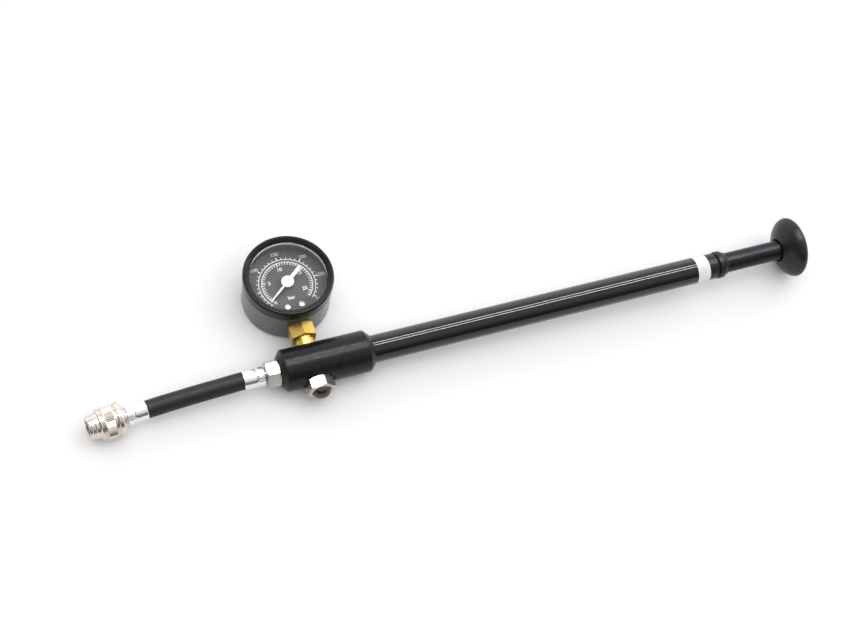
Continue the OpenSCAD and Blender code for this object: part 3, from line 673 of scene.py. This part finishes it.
def stroke(points, faces, r_from, r_to, angle, width):
    """One printed tick as a thin bar on the dial."""
    a, b = dial_point(r_from, angle), dial_point(r_to, angle)
    side = Vector((-(b - a).y, (b - a).x)).normalized() * width / 2
    s = len(points)
    for z in (INK_Z, INK_Z + INK_H):
        for p in (a - side, b - side, b + side, a + side):
            points.append((p.x, p.y, z))
    faces += [(s, s + 3, s + 2, s + 1), (s + 4, s + 5, s + 6, s + 7)]
    for k in range(4):
        n = (k + 1) % 4
        faces.append((s + k, s + n, s + 4 + n, s + 4 + k))


def arc_band(points, faces, r, width, first, last):
    """One printed circle line between two angles."""
    start, steps = len(points), 120
    for i in range(steps + 1):
        angle = first + (last - first) * i / steps
        for rr, z in ((r - width / 2, INK_Z), (r + width / 2, INK_Z),
                      (r + width / 2, INK_Z + INK_H), (r - width / 2, INK_Z + INK_H)):
            p = dial_point(rr, angle)
            points.append((p.x, p.y, z))
    for i in range(steps):
        s = start + 4 * i
        for k in range(4):
            n = (k + 1) % 4
            faces.append((s + k, s + n, s + 4 + n, s + 4 + k))
    faces += [(start, start + 1, start + 2, start + 3),
              tuple(start + 4 * steps + k for k in (3, 2, 1, 0))]


def make_scales():
    """Both circle lines, a tick every 10 psi outside and every half bar inside."""
    points, faces = [], []
    line_width = 0.36
    for r in (BAR_RING, PSI_RING):
        arc_band(points, faces, r, line_width, SCALE_FROM, SCALE_TO)
    for psi in range(10, 301, 10):
        major = psi % 50 == 0
        stroke(points, faces, PSI_RING, PSI_RING + (1.6 if major else 1.05),
               SCALE_ZERO + PSI_STEP * psi, 0.55 if major else 0.34)
    for half_bars in range(1, 43):
        major = half_bars % 10 == 0
        stroke(points, faces, BAR_RING - (1.75 if major else 1.35), BAR_RING,
               SCALE_ZERO + BAR_STEP * half_bars / 2, 0.5 if major else 0.38)
    mesh = mesh_from("dial_scales", points, faces)
    finish_piece(mesh, "dial_scales", DIAL, "head", "pointer_white")


def make_label(words, size, r, angle):
    """A number or unit printed on the dial, upright, centred at that angle."""
    curve = bpy.data.curves.new("label", "FONT")
    curve.body = words
    curve.size = size
    curve.align_x = "CENTER"
    curve.align_y = "CENTER"
    curve.extrude = INK_H / 2
    curve.offset = 0.05
    holder = bpy.data.objects.new("label", curve)
    bpy.context.scene.collection.objects.link(holder)
    graph = bpy.context.evaluated_depsgraph_get()
    mesh = bpy.data.meshes.new_from_object(holder.evaluated_get(graph), depsgraph=graph)
    bpy.data.objects.remove(holder)
    at = dial_point(r, angle)
    mesh.transform(Matrix.Scale(MM, 4) @ Matrix.Translation((at.x, at.y, INK_Z + INK_H / 2)))
    mesh.materials.clear()
    return mesh


def make_labels():
    psi_r, psi_size, bar_r, bar_size = 16.2, 2.4, 8.1, 2.5
    outer = [make_label(str(psi), psi_size, psi_r, angle) for psi, angle in (
        (50, 82), (100, 129.7), (150, 175), (200, 222), (250, 266), (300, 313))]
    finish_piece(joined("psi_numbers", outer), "psi_numbers", DIAL, "head", "ink_faint")
    inner = [make_label(str(bar), bar_size, bar_r, angle) for bar, angle in (
        (5, 106), (10, 170.5), (15, 237.5), (20, 300))]
    inner.append(make_label("bar", bar_size, 7.2, 1.6))
    inner.append(make_label("0", 2.0, 11.2, 43))
    finish_piece(joined("bar_numbers", inner), "bar_numbers", DIAL, "head", "pointer_white")


def make_pointer():
    """Pressed from sheet, a needle with a broad tail, on a turned hub."""
    low, high, hub, hub_top = 6.3, 6.65, 2.9, 7.0
    outline = [(13, -0.22), (13, 0.22), (2.4, 0.5), (1.2, 0.6), (-1.2, 0.8), (-9.6, 0.85),
               (-10.1, 0.5), (-10.1, -0.5), (-9.6, -0.85), (-1.2, -0.8), (1.2, -0.6), (2.4, -0.5)]
    n = len(outline)
    points = [(x, y, z) for z in (low, high) for x, y in outline]
    faces = [tuple(range(n))[::-1], tuple(range(n, 2 * n))]
    faces += [(k, (k + 1) % n, n + (k + 1) % n, n + k) for k in range(n)]
    blade = mesh_from("blade", points, faces)
    boss = turned_mesh("boss", [
        (0, low), (hub - 0.1, low), (hub, low + 0.1, 0.05), (hub, hub_top - 0.05, 0.08),
        (hub - 0.15, hub_top), (1.1, hub_top), (0.9, hub_top - 0.12), (0, hub_top - 0.12)],
        steps=64, closed=False)
    turn = Matrix.Rotation(math.radians(-90 - POINTER_REST), 4, "Z")
    mesh = joined("needle", [moved(blade, turn), boss])
    finish_piece(mesh, "needle", DIAL, "pointer", "pointer_white", ["pointer"])


def make_screws():
    meshes = []
    screw_x, screw_y = 3.3, -11.6
    for side in (-1, 1):
        head = turned_mesh("screw", [
            (0, 0.9), (0.7, 0.9), (0.7, INK_Z), (1.35, INK_Z), (1.4, INK_Z + 0.2, 0.05),
            (1.3, INK_Z + 0.45, 0.15), (0.8, INK_Z + 0.66, 0.2), (0, INK_Z + 0.7)],
            steps=48, closed=False)
        meshes.append(moved(head, Matrix.Translation((side * screw_x * MM, screw_y * MM, 0))))
    finish_piece(joined("dial_screw_heads", meshes), "dial_screw_heads", DIAL, "head", "nickel",
                 ["dial_screws"])


make_scales()
make_labels()
make_pointer()
make_screws()


def make_stem():
    """Brass: thread, round collar and hexagon outside the case, and the block inside it."""
    collar = turned_mesh("collar", [
        (1.2, 4.1), (4.5, 4.1, 0.1), (4.8, 4.6), (4.8, 8.6), (4.1, 8.75), (4.1, 11.7, 0.1),
        (4.4, 11.8, 0.05), (4.4, 12.5, 0.1), (4.2, 12.6), (1.2, 12.6)], steps=96)
    hexagon = hexagon_mesh("hexagon", 11, 12.6, 19.2, 1.2, 1.2, cone=0.2, corner_round=0.12)
    root = turned_mesh("root", [(1.2, 19.1), (4.2, 19.1), (4.2, 21.8), (1.2, 21.8)], steps=96)
    for part in (collar, hexagon, root):
        part.transform(Matrix.Rotation(-math.pi / 2, 4, "X"))
    lo, hi = (-4, 20.8, -4.5), (4, 28.8, 3.7)
    corners = [(x, y, z) for z in (lo[2], hi[2]) for y in (lo[1], hi[1])
               for x in (lo[0], hi[0])]
    block = mesh_from("block", corners, [(0, 1, 3, 2), (4, 5, 7, 6), (0, 1, 5, 4), (2, 3, 7, 6),
                                         (0, 2, 6, 4), (1, 3, 7, 5)])
    mesh = joined("gauge_stem", [collar, hexagon, root, block])
    finish_piece(mesh, "gauge_stem", PUMP, "head", "brass", ["gauge_socket"])


make_stem()


# ------------------------------------------------------------------ bleed valve and hose nut

def make_bleed():
    """Hexagon with its threaded plug, and the domed button that slides in it."""
    nut = moved(hexagon_mesh("nut", 11.8, -14.2, -8.7, 4.18, 4.18, cone=0.6, sink=0.35),
                Matrix.Rotation(math.radians(15), 4, "Z"))
    plug = turned_mesh("plug", [(1.25, -9), (3.99, -9), (3.99, -4.2), (1.25, -4.2)], steps=64)
    finish_piece(joined("bleed_hexagon", [nut, plug]), "bleed_hexagon", ALONG_Y, "head",
                 "nut_nickel", ["bleed_nut"])
    turned("bleed_cap", [
        (0, -17), (0.9, -16.95), (1.7, -16.78), (2.5, -16.42), (3.1, -15.98), (3.6, -15.4),
        (3.93, -14.7), (4.1, -13.9, 0.2), (4.1, -12.2), (1, -12.2), (1, -3.3), (2.1, -3.3),
        (2.1, -2.6), (0, -2.6),
    ], ALONG_Y, "bleed_valve", "button_dark", ["bleed_button"], closed=False, steps=96)


make_bleed()


def make_hose_nut():
    """Hexagon, the tail that the hose is pushed on and the thread that goes in the head."""
    bore = 1.2
    nut = hexagon_mesh("nut", 11.2, -21.7, -15.6, bore, bore, cone=0.6)
    neck = turned_mesh("neck", [(bore, -30.6), (1.7, -30.6), (2.2, -28.6), (2.2, -22.6),
                                (3.3, -22.6), (3.3, -21.2), (bore, -21.2)], steps=64)
    thread = turned_mesh("thread", [(bore, -16.7), (3.94, -16.7), (3.94, -8), (bore, -8)],
                         steps=64)
    finish_piece(joined("hose_hexagon", [nut, neck, thread]), "hose_hexagon", ALONG_X, "head",
                 "nut_nickel", ["hose_nut"])


make_hose_nut()


# ------------------------------------------------------------------ return springs

def make_springs():
    """Both return coils, copied from their CAD nodes, in steel and fixed to the head."""
    for name, node, joint, direction, travel in (
            ("bleed_coil", "bleed_spring", "bleed_press", (0, 1, 0), 1.6),
            ("check_coil", "check_spring", "check_lift", (-1, 0, 0), 0.8)):
        mesh = frame["nodes"][node].data.copy()
        mesh.materials.clear()
        coil = finish_piece(mesh, name, Matrix.Identity(4), "head", "steel", [node])
        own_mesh(coil)


make_springs()


# ------------------------------------------------------------------ CAD nodes that stay

SLOT_OF = {row["node"]: row["material_slot"] for row in frame["record"]["subparts"]}
for node, obj in frame["nodes"].items():
    if not obj.hide_render:
        obj.data.materials.clear()
        obj.data.materials.append(MATERIALS[SLOT_OF[node]])


# ------------------------------------------------------------------ floor and light

FLOOR_DROP = 0.0002                              # keeps the floor clear of what lies on it
WALL_FRONT, WALL_BACK, CEILING = 0.12, 1.5, 0.85                # brightness of the studio
STRIP_X, STRIP_HEIGHT, STRIP_LENGTH = 0.3, 0.9, 1.7
STRIPS = ((1.5, 0.04, 7.0), (20, 0.04, 7.0))     # degrees from overhead, width, power
SOFTBOX_AT, SOFTBOX_SIZE, SOFTBOX_POWER = (0.1, -0.3, 0.9), (1.4, 1.0), 4.2


def make_floor():
    size = 4
    mesh = bpy.data.meshes.new("floor")
    mesh.from_pydata([(-size, -size, 0), (size, -size, 0), (size, size, 0), (-size, size, 0)], [],
                     [(0, 1, 2, 3)])
    floor = bpy.data.objects.new("floor", mesh)
    bpy.context.scene.collection.objects.link(floor)
    f = Finish("floor_white", (0.93, 0.93, 0.93), 0.6)
    f.vary_roughness(f.noise(3), 0.55, 0.65)
    mesh.materials.append(f.material)
    floor.location.z = -FLOOR_DROP


def area_light(name, place, aim, size, power):
    data = bpy.data.lights.new(name, "AREA")
    data.shape = "RECTANGLE"
    data.size, data.size_y = size
    data.energy = power
    lamp = bpy.data.objects.new(name, data)
    bpy.context.scene.collection.objects.link(lamp)
    lamp.location = place
    lamp.rotation_euler = (Vector(aim) - Vector(place)).to_track_quat("-Z", "Y").to_euler()
    return lamp


def make_world():
    """White studio walls, brightest behind the bench, dark on the side that faces the camera."""
    world = bpy.data.worlds.new("studio")
    world.use_nodes = True
    tree = world.node_tree

    def ramp(source, low, high, at_low, at_high):
        node = tree.nodes.new("ShaderNodeMapRange")
        node.interpolation_type = "SMOOTHSTEP"
        tree.links.new(source, node.inputs["Value"])
        for socket, value in (("From Min", low), ("From Max", high),
                              ("To Min", at_low), ("To Max", at_high)):
            node.inputs[socket].default_value = value
        return node.outputs["Result"]

    coords = tree.nodes.new("ShaderNodeTexCoord").outputs["Generated"]
    split = tree.nodes.new("ShaderNodeSeparateXYZ")
    tree.links.new(coords, split.inputs["Vector"])
    away = tree.nodes.new("ShaderNodeVectorMath")
    away.operation = "DOT_PRODUCT"
    tree.links.new(coords, away.inputs[0])
    away.inputs[1].default_value = (0.46, 0.89, 0)
    mix = tree.nodes.new("ShaderNodeMix")
    tree.links.new(ramp(split.outputs["Z"], 0.35, 0.9, 0, 1), mix.inputs["Factor"])
    tree.links.new(ramp(away.outputs["Value"], -0.7, 0.7, WALL_FRONT, WALL_BACK), mix.inputs["A"])
    mix.inputs["B"].default_value = CEILING
    tree.links.new(mix.outputs["Result"], tree.nodes["Background"].inputs["Strength"])
    tree.nodes["Background"].inputs["Color"].default_value = (1, 1, 1, 1)
    bpy.context.scene.world = world


def make_lights():
    """Strips that show only as reflections, and a softbox that only lights the surfaces."""
    for k, (lean, width, power) in enumerate(STRIPS):
        a = math.radians(lean)
        place = (STRIP_X, STRIP_HEIGHT * math.sin(a), STRIP_HEIGHT * math.cos(a))
        strip = area_light(f"strip_{k}", place, (STRIP_X, 0, 0), (STRIP_LENGTH, width), power)
        strip.visible_diffuse = False
    softbox = area_light("softbox", SOFTBOX_AT, (0, 0, 0), SOFTBOX_SIZE, SOFTBOX_POWER)
    softbox.visible_glossy = False


make_floor()
make_world()
make_lights()
